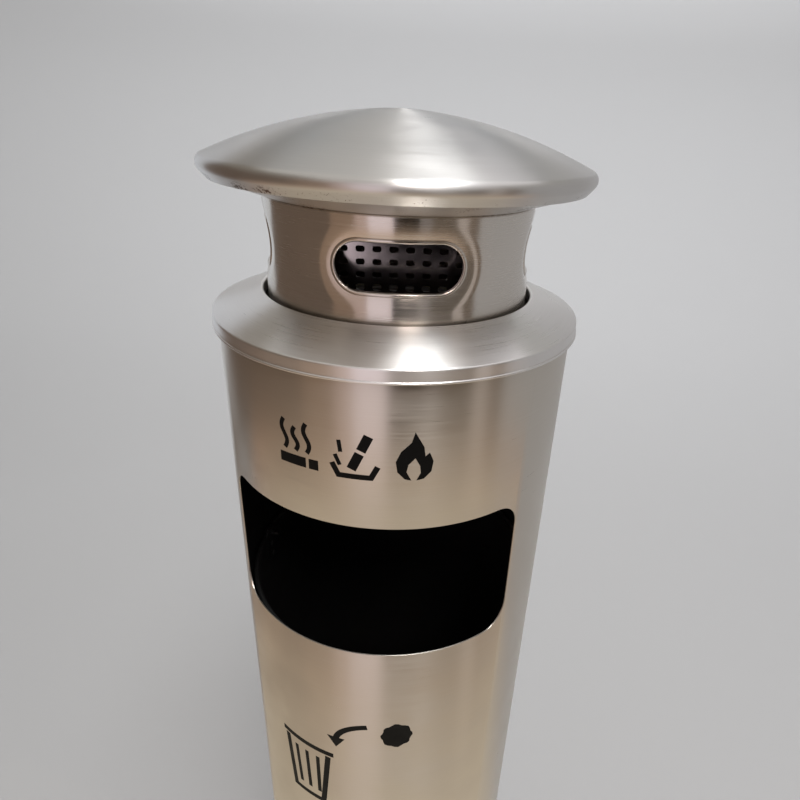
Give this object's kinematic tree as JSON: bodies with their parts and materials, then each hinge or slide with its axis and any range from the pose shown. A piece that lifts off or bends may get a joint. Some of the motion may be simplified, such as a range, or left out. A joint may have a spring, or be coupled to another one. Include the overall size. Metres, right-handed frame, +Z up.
{
  "type": "ashtray bin",
  "caption": "Round free-standing stainless ashtray bin with a front disposal opening, a lift-off collar and a slotted mushroom head over an ash pan.",
  "frame": {"origin": "centre of the base on the floor", "axes": "+Z up along the tube's axis, -Y towards the front, where the disposal opening is"},
  "size_m": [0.2584, 0.2584, 1],
  "materials": {
    "stainless_tube": "satin, brushed round",
    "stainless_spun": "satin, spun brushing",
    "stainless_neck": "semi-bright, brushed round",
    "stainless_screen": "bright punched sheet",
    "galvanised_inner": "plain rolled",
    "black_bucket": "matt powder coat",
    "zinc_hardware": "bright zinc",
    "bail_wire": "black enamelled wire",
    "black_plastic": "moulded, fine grain",
    "black_rubber": "moulded",
    "nylon": "natural nylon"
  },
  "bodies": {
    "shell": {"body_shell": "stainless_tube", "base_plate": "galvanised_inner", "base_ring": "black_plastic", "foot_pads": "black_rubber", "base_screws": "zinc_hardware"},
    "liner": {"liner_wall": "black_bucket", "liner_bottom": "black_bucket", "liner_ears": "zinc_hardware", "ear_rivets": "zinc_hardware"},
    "bail": {"bail_handle": "bail_wire"},
    "collar": {"collar_cover": "stainless_spun", "locating_ring": "galvanised_inner", "pan_holder": "galvanised_inner"},
    "pan": {"ash_pan": "stainless_spun"},
    "seat": {"seat_ring": "nylon"},
    "head": {"neck_ring": "stainless_neck", "stub_screen": "stainless_screen", "neck_screws": "zinc_hardware", "neck_nuts": "zinc_hardware", "cap_underside": "stainless_spun", "cap_dome": "stainless_spun"}
  },
  "joints": [
    {"name": "liner_lift", "type": "slide", "parent": "shell", "child": "liner", "axis": [0, 0, 1], "range_m": [0, 0.87]},
    {"name": "bail_swing", "type": "hinge", "parent": "liner", "child": "bail", "pos_m": [0, 0, 0.6431], "axis": [1, 0, 0], "range_deg": [0, 180]},
    {"name": "collar_lift", "type": "slide", "parent": "liner", "child": "collar", "axis": [0, 0, 1], "range_m": [0, 0.15]},
    {"name": "pan_lift", "type": "slide", "parent": "collar", "child": "pan", "axis": [0, 0, 1], "range_m": [0, 0.1]},
    {"name": "head_turn", "type": "hinge", "parent": "pan", "child": "seat", "pos_m": [0, 0, 0.8614], "axis": [0, 0, 1], "continuous": true},
    {"name": "head_lift", "type": "slide", "parent": "seat", "child": "head", "axis": [0, 0, 1], "range_m": [0, 0.12]}
  ]
}
